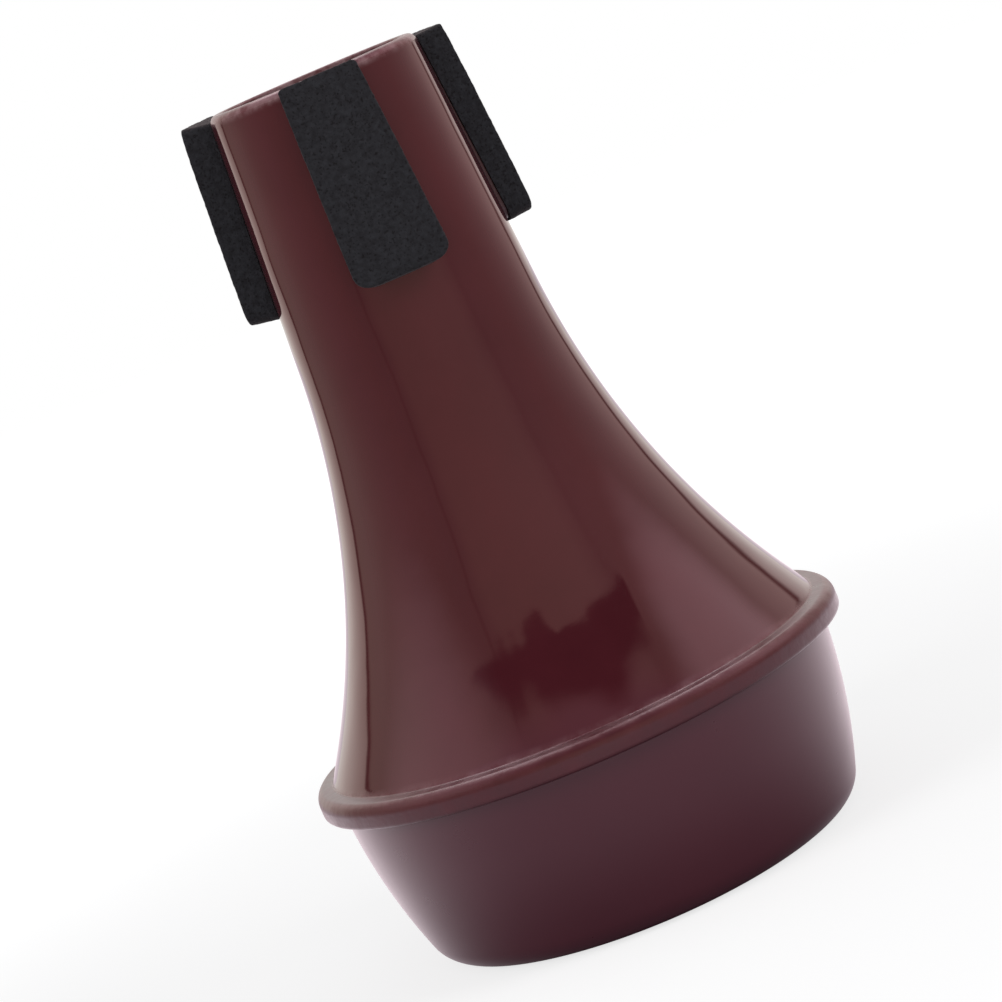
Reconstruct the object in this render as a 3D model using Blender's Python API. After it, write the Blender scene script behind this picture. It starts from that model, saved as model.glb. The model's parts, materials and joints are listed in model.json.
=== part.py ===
"""Trumpet practice mute of the straight pattern: a moulded shell in two halves, with foam pads.

The upper half is a long neck that flares out to a rolled bead. The lower half is a bowl whose rim
sits in a groove under that bead. Three foam pads, each on its own strip of adhesive tape, wrap the
neck and wedge in the throat of the trumpet's bell. The mute is hollow, and open only at the neck.

The origin is the centre of the flat base. +Z runs up the axis to the open neck, and the front pad
faces -Y. Lengths are in metres.
"""

from math import acos, asin, cos, pi, radians, sin, sqrt, tan

import bmesh
import bpy

MM = 0.001
SAME_POINT = 0.001 * MM  # points closer than this are one
SHARP_EDGE = radians(32.0)  # faces that meet at more than this keep a crisp edge

# The whole mute
HEIGHT = 152.4 * MM
WALL = 2.0 * MM
GAP = 0.3 * MM  # left wherever two pieces meet
SIDES = 72  # faces round every turned piece

# Neck: a straight taper below the rim
NECK_RADIUS = 19.1 * MM
NECK_TAPER = radians(3.8)
NECK_LENGTH = 46.6 * MM
RIM_OUTER_ROUND = 1.0 * MM  # how far in the rim's outer round reaches
RIM_OUTER_DROP = 1.9 * MM  # and how far down the neck
RIM_INNER_ROUND = 0.4 * MM

# Flare: a hollow sweep from the neck to the bead
FLARE_RADIUS = 141.0 * MM

# Bead: the rolled flange round the widest part
BEAD_RADIUS = 49.0 * MM
BEAD_TOP = 37.05 * MM  # the height that its upper round would rise to
BEAD_HEIGHT = 4.75 * MM
BEAD_ROUND = 2.4 * MM
BEAD_LOW_ROUND = 1.5 * MM
BEAD_LEAN = radians(11.0)  # how far its ledge falls outwards
BEAD_FILLET = 1.2 * MM  # the hollow between flare and ledge

# End cup: a bowl with a bowed wall and a flat base
CUP_RADIUS = 45.6 * MM
CUP_LEAN = radians(2.0)  # how far the wall leans in where it leaves the bead
CUP_BOW_RADIUS = 100.0 * MM
CUP_CORNER = 6.2 * MM
GATE_RADIUS = 2.0 * MM  # the dimple left by the moulding gate
GATE_FLOOR_RADIUS = 1.2 * MM
GATE_DEPTH = 0.3 * MM

# Joint: the cup's rim in a groove under the bead, with a spigot inside it
RIM_ENTRY = 1.8 * MM  # how far the cup's rim goes into the groove
RIM_CHAMFER = 0.3 * MM
SPIGOT_RADIUS = 43.2 * MM
SPIGOT_WALL = 1.8 * MM
SPIGOT_REACH = 3.0 * MM  # below the bead's underside
SPIGOT_CHAMFER = 0.8 * MM

# Pads: widths are those of the flat blank, which the neck bends round
TAPE_THICKNESS = 0.25 * MM
TAPE_INSET = 0.4 * MM
FOAM_THICKNESS = 5.0 * MM
PAD_LENGTH = 36.0 * MM
PAD_TOP_WIDTH = 11.6 * MM
PAD_LOW_WIDTH = 14.7 * MM
PAD_TOP_ROUND = 0.8 * MM
PAD_LOW_ROUND = 2.5 * MM
PAD_EDGE_ROUND = 0.35 * MM
# name, turn about the axis, distance of its top edge below the rim, sideways drift down its length
PAD_PLACES = (
    ("front", radians(3.0), 0.4 * MM, 0.020),
    ("right", radians(119.0), 1.1 * MM, 0.0),
    ("left", radians(-114.0), 0.7 * MM, 0.0),
)

MAROON = (0.060, 0.013, 0.018, 1.0)
CHARCOAL = (0.013, 0.014, 0.015, 1.0)
TAPE_BROWN = (0.030, 0.011, 0.013, 1.0)

BEAD_UNDERSIDE = BEAD_TOP - BEAD_HEIGHT
BEAD_SHOULDER = (BEAD_RADIUS - BEAD_ROUND, BEAD_TOP - BEAD_ROUND)  # centre of its upper round
LEDGE_FACING = pi / 2 - BEAD_LEAN


def clear_scene():
    for thing in list(bpy.data.objects):
        bpy.data.objects.remove(thing)


def make_material(name, colour, roughness):
    material = bpy.data.materials.new(name)
    material.use_nodes = True
    shader = material.node_tree.nodes["Principled BSDF"]
    shader.inputs["Base Color"].default_value = colour
    shader.inputs["Roughness"].default_value = roughness
    shader.inputs["Metallic"].default_value = 0.0
    return material


def add_object(name, shape, material):
    """Turn a finished bmesh into an object that is smooth but for its real edges."""
    mesh = bpy.data.meshes.new(name)
    shape.to_mesh(mesh)
    shape.free()
    mesh.shade_smooth()
    mesh.set_sharp_from_angle(angle=SHARP_EDGE)
    mesh.materials.append(material)
    piece = bpy.data.objects.new(name, mesh)
    bpy.context.scene.collection.objects.link(piece)
    return piece


def arc(centre, radius, start, end, steps):
    """Points (radius, height) on a circle of the turning plane; 0 points outwards, 90 degrees up."""
    turns = [start + (end - start) * step / steps for step in range(steps + 1)]
    return [(centre[0] + radius * cos(turn), centre[1] + radius * sin(turn)) for turn in turns]


def turned(name, outline, material):
    """A round piece: the closed outline of its wall, as (radius, height) points, spun about Z."""
    shape = bmesh.new()
    points = [shape.verts.new((radius, 0.0, height)) for radius, height in outline]
    edges = [shape.edges.new(pair) for pair in zip(points, points[1:] + points[:1])]
    bmesh.ops.spin(
        shape,
        geom=points + edges,
        axis=(0.0, 0.0, 1.0),
        angle=2.0 * pi,
        steps=SIDES,
        use_merge=True,
    )
    # Points on the axis become one point, and the edge that ran along the axis goes.
    bmesh.ops.remove_doubles(shape, verts=shape.verts, dist=SAME_POINT)
    bmesh.ops.delete(shape, geom=[edge for edge in shape.edges if edge.is_wire], context="EDGES")
    bmesh.ops.recalc_face_normals(shape, faces=shape.faces)
    return add_object(name, shape, material)


def flare_centre():
    """The centre of the flare's sweep, outside the mute, where the sweep leaves the neck smoothly."""
    end_radius = NECK_RADIUS + NECK_LENGTH * tan(NECK_TAPER)
    return (
        end_radius + FLARE_RADIUS * cos(NECK_TAPER),
        HEIGHT - NECK_LENGTH + FLARE_RADIUS * sin(NECK_TAPER),
    )


def cone_outer_skin():
    """From the rim down the neck and the flare, and round the fillet to the bead's ledge."""
    rim_edge = NECK_RADIUS + RIM_OUTER_DROP * tan(NECK_TAPER)
    rim_flat = NECK_RADIUS - RIM_OUTER_ROUND
    rim = [
        (rim_flat + (rim_edge - rim_flat) * across, HEIGHT - RIM_OUTER_DROP * (1.0 - up))
        for across, up in arc((0.0, 0.0), 1.0, pi / 2, 0.0, 5)
    ]
    # The fillet's circle touches the flare from outside and the ledge from above, and the ledge
    # runs on smoothly into the bead's upper round.
    centre = flare_centre()
    reach = FLARE_RADIUS - BEAD_FILLET
    rise = (centre[0] - BEAD_SHOULDER[0]) * cos(LEDGE_FACING) + (
        centre[1] - BEAD_SHOULDER[1]
    ) * sin(LEDGE_FACING)
    drop = LEDGE_FACING - acos((rise - BEAD_FILLET - BEAD_ROUND) / reach)
    fillet_centre = (centre[0] - reach * cos(drop), centre[1] - reach * sin(drop))
    flare = arc(centre, FLARE_RADIUS, pi + NECK_TAPER, pi + drop, 9)
    fillet = arc(fillet_centre, BEAD_FILLET, pi + drop, pi + LEDGE_FACING, 4)
    return rim + flare + fillet[1:]


def bead_and_joint():
    """Round the bead, up into the groove for the cup's rim, and down and round the spigot."""
    upper = arc(BEAD_SHOULDER, BEAD_ROUND, LEDGE_FACING, 0.0, 6)
    low_shoulder = (BEAD_RADIUS - BEAD_LOW_ROUND, BEAD_UNDERSIDE + BEAD_LOW_ROUND)
    lower = arc(low_shoulder, BEAD_LOW_ROUND, 0.0, -pi / 2, 4)
    groove_floor = BEAD_UNDERSIDE + RIM_ENTRY + GAP
    spigot_end = BEAD_UNDERSIDE - SPIGOT_REACH
    groove = [
        (CUP_RADIUS + GAP, BEAD_UNDERSIDE),
        (CUP_RADIUS + GAP, groove_floor),
        (SPIGOT_RADIUS, groove_floor),
    ]
    spigot = [
        (SPIGOT_RADIUS, spigot_end + SPIGOT_CHAMFER),
        (SPIGOT_RADIUS - SPIGOT_CHAMFER, spigot_end),
        (SPIGOT_RADIUS - SPIGOT_WALL, spigot_end),
    ]
    return upper + lower + groove + spigot


def cone_inner_skin():
    """From the spigot up inside the flare and the neck, one wall in from the outer skin."""
    centre = flare_centre()
    sweep = FLARE_RADIUS + WALL
    meets_spigot = acos((centre[0] - (SPIGOT_RADIUS - SPIGOT_WALL)) / sweep)
    flare = arc(centre, sweep, pi + meets_spigot, pi + NECK_TAPER, 9)
    bore = NECK_RADIUS - WALL / cos(NECK_TAPER)
    rim = arc((bore + RIM_INNER_ROUND, HEIGHT - RIM_INNER_ROUND), RIM_INNER_ROUND, pi, pi / 2, 3)
    return flare + rim


def make_cone_body(material):
    outline = cone_outer_skin() + bead_and_joint() + cone_inner_skin()
    return turned("cone_body", outline, material)


def cup_wall(inset, bow_steps, corner_steps):
    """From under the bead down the bowed wall and round the corner, so far in from the outer skin."""
    bow_centre = (
        CUP_RADIUS - CUP_BOW_RADIUS * cos(CUP_LEAN),
        BEAD_UNDERSIDE + CUP_BOW_RADIUS * sin(CUP_LEAN),
    )
    # The corner's circle touches the base plane and, from inside, the bow's circle.
    reach = CUP_BOW_RADIUS - CUP_CORNER
    fall = asin((bow_centre[1] - CUP_CORNER) / reach)
    corner_centre = (bow_centre[0] + reach * cos(fall), CUP_CORNER)
    bow = arc(bow_centre, CUP_BOW_RADIUS - inset, -CUP_LEAN, -fall, bow_steps)
    corner = arc(corner_centre, CUP_CORNER - inset, -fall, -pi / 2, corner_steps)
    return bow + corner[1:]


def make_end_cup(material):
    rim_top = BEAD_UNDERSIDE + RIM_ENTRY
    rim = [
        (CUP_RADIUS - WALL, rim_top - RIM_CHAMFER),
        (CUP_RADIUS - WALL + RIM_CHAMFER, rim_top),
        (CUP_RADIUS - RIM_CHAMFER, rim_top),
        (CUP_RADIUS, rim_top - RIM_CHAMFER),
    ]
    gate = [(GATE_RADIUS, 0.0), (GATE_FLOOR_RADIUS, GATE_DEPTH), (0.0, GATE_DEPTH)]
    inside = cup_wall(WALL, 5, 4)
    outline = rim + cup_wall(0.0, 5, 6) + gate + [(0.0, WALL)] + inside[::-1]
    return turned("end_cup", outline, material)


def half_width(along, inset):
    """Half the blank's width at a distance from its top edge, drawn in round its four corners."""
    grown = PAD_TOP_WIDTH + (PAD_LOW_WIDTH - PAD_TOP_WIDTH) * along / PAD_LENGTH
    half = grown / 2 - inset
    for from_end, corner in (
        (along - inset, PAD_TOP_ROUND),
        (PAD_LENGTH - inset - along, PAD_LOW_ROUND),
    ):
        if from_end < corner:
            half -= corner - sqrt(max(0.0, corner**2 - (corner - from_end) ** 2))
    return half


def blank_rows(inset):
    """Where the blank is crossed by its rows of points: close together round the corners."""
    low = PAD_LENGTH - inset
    top_corner = [inset + PAD_TOP_ROUND * (1.0 - cos(step * pi / 6)) for step in range(4)]
    low_corner = [low - PAD_LOW_ROUND * (1.0 - sin(step * pi / 10)) for step in range(6)]
    return top_corner + low_corner


def flat_blank(inset, thickness, columns):
    """A flat strip as it is cut: x across, y up its length from 0 at its top edge, z its thickness."""
    shape = bmesh.new()
    rows = []
    for along in blank_rows(inset):
        half = half_width(along, inset)
        steps = [2.0 * column / columns - 1.0 for column in range(columns + 1)]
        rows.append([shape.verts.new((half * step, -along, 0.0)) for step in steps])
    for upper, lower in zip(rows, rows[1:]):
        for left in range(columns):
            shape.faces.new((upper[left], lower[left], lower[left + 1], upper[left + 1]))
    raised = bmesh.ops.extrude_face_region(shape, geom=shape.faces[:])["geom"]
    skin = [part for part in raised if isinstance(part, bmesh.types.BMVert)]
    bmesh.ops.translate(shape, verts=skin, vec=(0.0, 0.0, thickness))
    bmesh.ops.recalc_face_normals(shape, faces=shape.faces)
    return shape


def round_outer_edges(shape, width):
    """Round the edges that run about the blank's raised face."""
    top = max(point.co.z for point in shape.verts)
    edges = [
        edge
        for edge in shape.edges
        if min(point.co.z for point in edge.verts) > top - SAME_POINT
        and edge.calc_face_angle() > SHARP_EDGE
    ]
    bmesh.ops.bevel(shape, geom=edges, offset=width, segments=2, profile=0.5, affect="EDGES")


def wrap_on_neck(shape, stand_off, setback, drift):
    """Bend a flat blank round the front of the neck, its glued face a little off the wall.

    A point's distance down the blank runs down the neck's slope, its distance across becomes a
    turn about the axis, and its height stands square off the wall.
    """
    for point in shape.verts:
        across = point.co.x - drift * (point.co.y + PAD_LENGTH / 2)
        down = setback - point.co.y
        off = point.co.z + stand_off
        wall = NECK_RADIUS + down * sin(NECK_TAPER)
        turn = across / (wall + stand_off)
        radius = wall + off * cos(NECK_TAPER)
        height = HEIGHT - down * cos(NECK_TAPER) + off * sin(NECK_TAPER)
        point.co = (radius * sin(turn), -radius * cos(turn), height)


def make_pad_tape(name, turn, setback, drift, material):
    shape = flat_blank(TAPE_INSET, TAPE_THICKNESS, 6)
    wrap_on_neck(shape, GAP, setback, drift)
    tape = add_object("pad_tape_" + name, shape, material)
    tape.rotation_euler.z = turn
    return tape


def make_foam_pad(name, turn, setback, drift, material):
    shape = flat_blank(0.0, FOAM_THICKNESS, 8)
    round_outer_edges(shape, PAD_EDGE_ROUND)
    wrap_on_neck(shape, TAPE_THICKNESS + 2.0 * GAP, setback, drift)
    pad = add_object("foam_pad_" + name, shape, material)
    pad.rotation_euler.z = turn
    return pad


def main():
    clear_scene()
    make_cone_body(make_material("cone_plastic", MAROON, 0.12))
    make_end_cup(make_material("cup_plastic", MAROON, 0.30))
    tape = make_material("tape_film", TAPE_BROWN, 0.45)
    foam = make_material("pad_foam", CHARCOAL, 0.95)
    for name, turn, setback, drift in PAD_PLACES:
        make_pad_tape(name, turn, setback, drift, tape)
        make_foam_pad(name, turn, setback, drift, foam)


main()
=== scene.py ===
"""The finish of a straight trumpet practice mute: glossy cone, satin end cup, foam pads on tape.

Laid out as a Blender add-on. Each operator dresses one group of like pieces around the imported
frame, in metres, with +Z up the mute's axis and the front pad towards -Y.
"""

import json
from math import cos, degrees, pi, radians, sin, tan
from typing import NamedTuple

import bmesh
import bpy
import numpy as np
from bpy.props import FloatProperty, FloatVectorProperty, IntProperty, PointerProperty
from mathutils import Matrix, Vector

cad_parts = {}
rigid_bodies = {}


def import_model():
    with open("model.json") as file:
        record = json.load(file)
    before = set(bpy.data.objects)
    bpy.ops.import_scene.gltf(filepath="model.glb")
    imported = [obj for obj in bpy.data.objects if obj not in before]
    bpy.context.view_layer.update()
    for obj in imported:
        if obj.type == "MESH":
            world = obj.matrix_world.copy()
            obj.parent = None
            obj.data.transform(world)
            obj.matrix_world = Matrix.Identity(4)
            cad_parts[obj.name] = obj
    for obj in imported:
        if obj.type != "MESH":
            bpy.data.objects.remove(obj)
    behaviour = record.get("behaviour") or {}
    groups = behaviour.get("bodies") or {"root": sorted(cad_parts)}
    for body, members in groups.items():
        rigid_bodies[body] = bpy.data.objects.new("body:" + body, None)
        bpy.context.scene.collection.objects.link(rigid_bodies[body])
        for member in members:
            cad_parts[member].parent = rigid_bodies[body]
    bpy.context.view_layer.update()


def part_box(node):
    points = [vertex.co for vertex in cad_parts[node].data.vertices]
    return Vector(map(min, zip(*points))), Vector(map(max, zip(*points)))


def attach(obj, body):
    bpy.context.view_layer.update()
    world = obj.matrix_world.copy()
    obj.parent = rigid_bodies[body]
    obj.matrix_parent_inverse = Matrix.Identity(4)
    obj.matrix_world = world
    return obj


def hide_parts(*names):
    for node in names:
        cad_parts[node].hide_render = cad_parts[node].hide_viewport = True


bl_info = {
    "name": "Trumpet mute finish",
    "version": (1, 0, 0),
    "blender": (4, 5, 0),
    "location": "View3D > Sidebar > Mute",
    "description": "Dresses a straight trumpet mute: shell, end cup, pads, tapes and stage",
    "category": "Object",
}

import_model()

MM = 0.001
CONE_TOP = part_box("cone_body")[1]
CUP_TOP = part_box("end_cup")[1]
TOUCH = 0.02 * MM  # what is left between pieces that lie on each other
WELD = 1e-7  # points of a mesh that are closer than this are one
CRISP = radians(40.0)  # edges that turn by more than this stay crisp

# The joint of cone and cup: what is left beside the cup's rim, the groove, and the spigot
GROOVE_PLAY = 0.05 * MM
GROOVE_DEPTH = 2.1 * MM
SPIGOT_DROP = 3.0 * MM  # below the bead's underside
SPIGOT_INSET = 2.4 * MM  # its skin, in from the cup's
SPIGOT_CHAMFER = 0.8 * MM
SPIGOT_END = 1.8 * MM  # how far in its end face reaches, chamfer and all

# The cup: how far its rim rises into the groove, its chamfers, and the dimple of the moulding gate
CUP_RIM_RISE = 1.8 * MM
CUP_CHAMFER = 0.3 * MM
GATE_RADIUS = 2.0 * MM
GATE_FLOOR_RADIUS = 1.2 * MM
GATE_DEPTH = 0.3 * MM

# Pads and tapes: the round of the tape's cut edge, and the faces over a strip's side, round and corner
TAPE_EDGE = 0.05 * MM
SIDE_STEPS = 14
EDGE_STEPS = 5
CORNER_STEPS = 10

# The foam's unevenness: the sum's waves, their lengths, the height where it is full, and the seed
NAP_WAVES = 20
NAP_SHORT = 0.6 * MM
NAP_LONG = 1.6 * MM
NAP_FULL = 0.6 * MM
NAP_SEED = 5

# Wear, painted shade and painted highlights on the cone: where each starts and is full, as heights from
# the top of the rim or the bead
RIM_WEAR_AND_HIGHLIGHT = (-2.2 * MM, -0.5 * MM)
BEAD_WEAR_AND_PAINTED_LIGHT = (1.2 * MM, -0.4 * MM)
CREST_HIGHLIGHT_HEIGHTS = (-1.0 * MM, -0.4 * MM)
# Painted highlights: pale patches on the rim's round and along the bead's crest, linear colours
RIM_PAINTED_HIGHLIGHT = (0.24, 0.15, 0.16)
CREST_PAINTED_HIGHLIGHT = (0.11, 0.052, 0.058)
PAINTED_HIGHLIGHT_WHERE = (0.36, 0.66)  # the values of the wear's noise between which the painted highlight comes in

# The light tent: turns from the front and rises above level in degrees, linear colours
TENT_WALLS = (
    (-180.0, (1.12, 1.09, 1.05)),
    (-165.0, (1.24, 1.19, 1.13)),
    (-150.0, (1.45, 1.22, 1.13)),
    (-135.0, (1.24, 0.92, 0.84)),
    (-130.5, (1.16, 0.86, 0.77)),
    (-129.3, (0.14, 0.06, 0.05)),
    (-128.0, (0.14, 0.06, 0.05)),
    (-126.0, (0.62, 0.42, 0.36)),
    (-115.0, (0.78, 0.52, 0.47)),
    (-105.0, (0.82, 0.53, 0.48)),
    (-90.0, (0.78, 0.46, 0.42)),
    (-75.0, (0.71, 0.39, 0.37)),
    (-55.0, (0.56, 0.31, 0.27)),
    (-45.0, (0.47, 0.28, 0.25)),
    (-39.5, (0.44, 0.27, 0.23)),
    (-38.0, (0.24, 0.15, 0.12)),
    (-36.5, (0.46, 0.28, 0.24)),
    (-28.0, (0.64, 0.38, 0.31)),
    (0.0, (0.74, 0.42, 0.35)),
    (38.0, (0.82, 0.48, 0.42)),
    (47.0, (0.70, 0.40, 0.36)),
    (51.0, (0.58, 0.32, 0.29)),
    (56.0, (0.66, 0.36, 0.33)),
    (80.0, (0.77, 0.39, 0.36)),
    (105.0, (0.90, 0.53, 0.51)),
    (125.0, (1.05, 0.68, 0.65)),
    (137.0, (1.02, 0.68, 0.64)),
    (138.5, (0.14, 0.06, 0.05)),
    (140.0, (0.14, 0.06, 0.05)),
    (143.0, (1.15, 0.86, 0.82)),
    (155.0, (1.40, 1.22, 1.16)),
    (180.0, (1.12, 1.09, 1.05)),
)
WALLS_BRIGHTEN = (0.97, 1.12, 30.0)  # share at level, share above, and the rise where that is reached
TENT_CEILING = (0.66, 0.36, 0.43)
CEILING_FROM = (45.0, 54.0)  # the rises between which the walls turn into the ceiling
TENT_SLOT = (0.02, 0.01, 0.01)
SLOT_SOFT = (0.4, 2.2)  # half the width over which its foot and its top fade, in degrees
# turn, the rise of its ragged foot, the rise of its soft top
SLOT_EDGES = (
    (-57.0, 38.5, 37.0),
    (-50.0, 38.2, 40.5),
    (-44.0, 38.8, 43.8),
    (-38.0, 39.0, 46.5),
    (-31.5, 39.1, 47.5),
    (-28.0, 39.9, 46.5),
    (-23.0, 40.0, 47.3),
    (-19.5, 40.7, 48.5),
    (-15.5, 40.5, 49.3),
    (-13.0, 39.9, 49.8),
    (-3.0, 39.6, 50.5),
    (1.0, 40.3, 50.7),
    (5.5, 41.9, 51.2),
    (9.0, 41.4, 51.5),
    (20.0, 41.5, 52.2),
    (26.0, 41.2, 51.8),
    (31.0, 39.8, 50.0),
    (36.0, 38.9, 48.0),
    (43.0, 37.6, 45.5),
    (49.0, 36.0, 44.0),
    (55.0, 34.0, 41.0),
    (59.0, 33.5, 31.0),
)
# turn, rise, inner and outer reach, colour
TENT_LAMPS = (
    (-89.0, 50.0, 10.0, 36.0, (0.78, 0.50, 0.58)),
    (96.0, 44.0, 15.0, 29.0, (1.25, 0.78, 0.90)),
    (180.0, 64.0, 14.0, 26.0, (4.60, 3.90, 4.10)),
)
SIDE_TURN = 135.0  # a lamp nearer the front than this turn shines through a side wall
SIDE_LAMPS_END = (64.0, 54.0)  # the rises where such a lamp has faded out and where it is full
AMBIENT = 0.45  # the even grey that lights all but the gloss
# name, place, width and height, power
PLAIN_LAMPS = (
    ("left_lamp", (-0.75, -0.45, 0.50), (0.5, 0.5), 3.4),
    ("right_lamp", (0.75, -0.45, 0.50), (0.5, 0.5), 3.4),
    ("front_lamp", (0.0, -1.10, 0.13), (0.9, 0.24), 3.6),
)

FLOOR_HALF = 1.5  # half the floor's side
FLOOR_COLOUR = (0.32, 0.32, 0.325)
FLOOR_TO_CAMERA = (0.72, 1.00)  # what the floor adds to its own light, near the mute and far off
FLOOR_FAR = (0.12, 0.45)  # the distances between which that changes
FLOOR_IN_GLOSS = (0.26, 0.16, 0.21)
# What the floor adds to the gloss, in front and behind: its strength, the distances between which
# that changes, the factor that it changes by, its hue, and the share that is left beside the mute
SHINE_FRONT = (0.42, (0.10, 0.23), 1.8, (1.0, 0.86, 0.95), 0.0)
SHINE_BEHIND = (1.85, (0.16, 0.24), 0.5, (1.0, 0.89, 0.94), 0.80)
SHINE_NEAR = (0.035, 0.085)  # the distances between which the share beside the mute grows to one
SHINE_TURNS = (-1.0, 0.9)  # y over distance, where the front one is full and where the other is

IMAGE_SIDE = 1002  # pixels of the square picture
SENSOR = 36.0 * MM


class MuteShape(bpy.types.PropertyGroup):
    """The turned shell's driving sizes."""

    height: FloatProperty(
        name="Height", description="Base to rim", default=CONE_TOP.z, unit="LENGTH"
    )
    wall: FloatProperty(
        name="Wall", description="Thickness of the mouldings", default=2.0 * MM, unit="LENGTH"
    )
    neck_radius: FloatProperty(
        name="Neck radius", description="Outside, at the rim", default=19.1 * MM, unit="LENGTH"
    )
    neck_taper: FloatProperty(
        name="Neck taper", description="Lean of the wall", default=radians(3.8), subtype="ANGLE"
    )
    neck_length: FloatProperty(
        name="Neck length", description="Straight part", default=46.6 * MM, unit="LENGTH"
    )
    rim_outer_round: FloatProperty(
        name="Rim round", description="Outer edge of the rim", default=1.3 * MM, unit="LENGTH"
    )
    rim_outer_drop: FloatProperty(
        name="Rim drop", description="How far down that round runs", default=1.9 * MM, unit="LENGTH"
    )
    rim_inner_round: FloatProperty(
        name="Rim inner round", description="Inner edge of the rim", default=0.4 * MM, unit="LENGTH"
    )
    flare_radius: FloatProperty(
        name="Flare radius", description="Sweep of the flare", default=141.0 * MM, unit="LENGTH"
    )
    bead_radius: FloatProperty(
        name="Bead radius", description="Widest part", default=CONE_TOP.x, unit="LENGTH"
    )
    bead_middle: FloatProperty(
        name="Bead middle", description="Height of its widest line", default=34.65 * MM, unit="LENGTH"
    )
    bead_underside: FloatProperty(
        name="Bead underside", description="Height of its flat", default=32.3 * MM, unit="LENGTH"
    )
    bead_round: FloatProperty(
        name="Bead round", description="Its outer edge above the middle", default=2.4 * MM, unit="LENGTH"
    )
    bead_crest: FloatProperty(
        name="Bead crest", description="Where that round tightens", default=radians(58.0), subtype="ANGLE"
    )
    bead_crest_round: FloatProperty(
        name="Crest round", description="The tighter round above", default=1.0 * MM, unit="LENGTH"
    )
    bead_low_round: FloatProperty(
        name="Bead low round", description="Its lower outer edge", default=0.8 * MM, unit="LENGTH"
    )
    bead_lean: FloatProperty(
        name="Bead lean", description="Outward fall of its ledge", default=radians(4.0), subtype="ANGLE"
    )
    bead_fillet: FloatProperty(
        name="Bead fillet", description="Hollow above the ledge", default=0.5 * MM, unit="LENGTH"
    )
    cup_radius: FloatProperty(
        name="Cup radius", description="Outside, at its rim", default=CUP_TOP.x, unit="LENGTH"
    )
    cup_lean: FloatProperty(
        name="Cup lean", description="Lean under the bead", default=radians(2.0), subtype="ANGLE"
    )
    cup_bow: FloatProperty(
        name="Cup bow", description="Radius of the bowed wall", default=100.0 * MM, unit="LENGTH"
    )
    cup_corner: FloatProperty(
        name="Cup corner", description="Round of the base edge", default=6.2 * MM, unit="LENGTH"
    )
    sides: IntProperty(name="Sides", description="Faces round each shell", default=256, min=32)


class PadShape(bpy.types.PropertyGroup):
    """The flat pad blank's sizes, before the neck bends it."""

    length: FloatProperty(
        name="Length", description="Down the neck", default=36.0 * MM, unit="LENGTH"
    )
    top_width: FloatProperty(
        name="Top width", description="At the rim", default=11.6 * MM, unit="LENGTH"
    )
    low_width: FloatProperty(
        name="Low width", description="At the lower end", default=14.7 * MM, unit="LENGTH"
    )
    thickness: FloatProperty(
        name="Foam", description="Thickness of the foam", default=5.0 * MM, unit="LENGTH"
    )
    tape: FloatProperty(
        name="Tape", description="Thickness of the tape", default=0.25 * MM, unit="LENGTH"
    )
    gap: FloatProperty(
        name="Gap", description="Left by the frame between pieces", default=0.3 * MM, unit="LENGTH"
    )
    top_round: FloatProperty(
        name="Top corner", description="Its two upper corners", default=0.8 * MM, unit="LENGTH"
    )
    low_round: FloatProperty(
        name="Low corner", description="Its two lower corners", default=2.5 * MM, unit="LENGTH"
    )
    edge_round: FloatProperty(
        name="Edge", description="Softness of the outer edges", default=0.35 * MM, unit="LENGTH"
    )
    nap: FloatProperty(
        name="Nap", description="Unevenness of the foam", default=0.02 * MM, unit="LENGTH"
    )
    press: FloatProperty(
        name="Press", description="Squeezed off the ends by use", default=0.25 * MM, unit="LENGTH"
    )
    press_reach: FloatProperty(
        name="Press reach", description="How far in from the ends", default=3.0 * MM, unit="LENGTH"
    )
    tape_inset: FloatProperty(
        name="Tape inset", description="Tape in from the pad", default=0.4 * MM, unit="LENGTH"
    )


class MuteColours(bpy.types.PropertyGroup):
    """The finishes' colours, linear."""

    cone: FloatVectorProperty(
        name="Cone", description="Glossy plastic", subtype="COLOR", default=(0.0505, 0.0081, 0.0120)
    )
    cup: FloatVectorProperty(
        name="Cup", description="Satin plastic", subtype="COLOR", default=(0.0530, 0.0116, 0.0180)
    )
    foam: FloatVectorProperty(
        name="Foam", description="Pad foam", subtype="COLOR", default=(0.0150, 0.0158, 0.0185)
    )
    tape: FloatVectorProperty(
        name="Tape", description="Pad tape", subtype="COLOR", default=(0.030, 0.011, 0.013)
    )


class StageSettings(bpy.types.PropertyGroup):
    """The camera and the light."""

    distance: FloatProperty(
        name="Distance", description="Camera to the mute", default=0.678, unit="LENGTH"
    )
    elevation: FloatProperty(
        name="Elevation", description="Camera above level", default=radians(8.17), subtype="ANGLE"
    )
    roll: FloatProperty(
        name="Roll", description="Lean of the mute in the picture", default=radians(23.15), subtype="ANGLE"
    )
    aim_height: FloatProperty(
        name="Aim height", description="Height the camera looks at", default=71.5 * MM, unit="LENGTH"
    )
    aim_side: FloatProperty(
        name="Aim side", description="How far beside the axis", default=1.29 * MM, unit="LENGTH"
    )
    lens_pixels: FloatProperty(
        name="Lens", description="Focal length in pixels of the picture", default=3888.0
    )


class PadPlace(NamedTuple):
    """Where a pad is stuck and how it has worn."""

    name: str
    turn: float  # from the front towards the right
    setback: float  # below the rim
    drift: float  # sideways lean, per length
    foot_top: float  # from the neck to the foam, at its top and low ends
    foot_low: float
    drag: float  # how far the outer face has been dragged towards the rim


PAD_PLACES = (
    PadPlace("front", radians(3.0), 0.4 * MM, 0.020, 0.30 * MM, 0.30 * MM, 0.25 * MM),
    PadPlace("right", radians(119.0), 1.1 * MM, 0.0, 0.75 * MM, 1.30 * MM, 0.0),
    PadPlace("left", radians(-114.0), 1.05 * MM, 0.0, 0.30 * MM, 0.30 * MM, 0.45 * MM),
)


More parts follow.
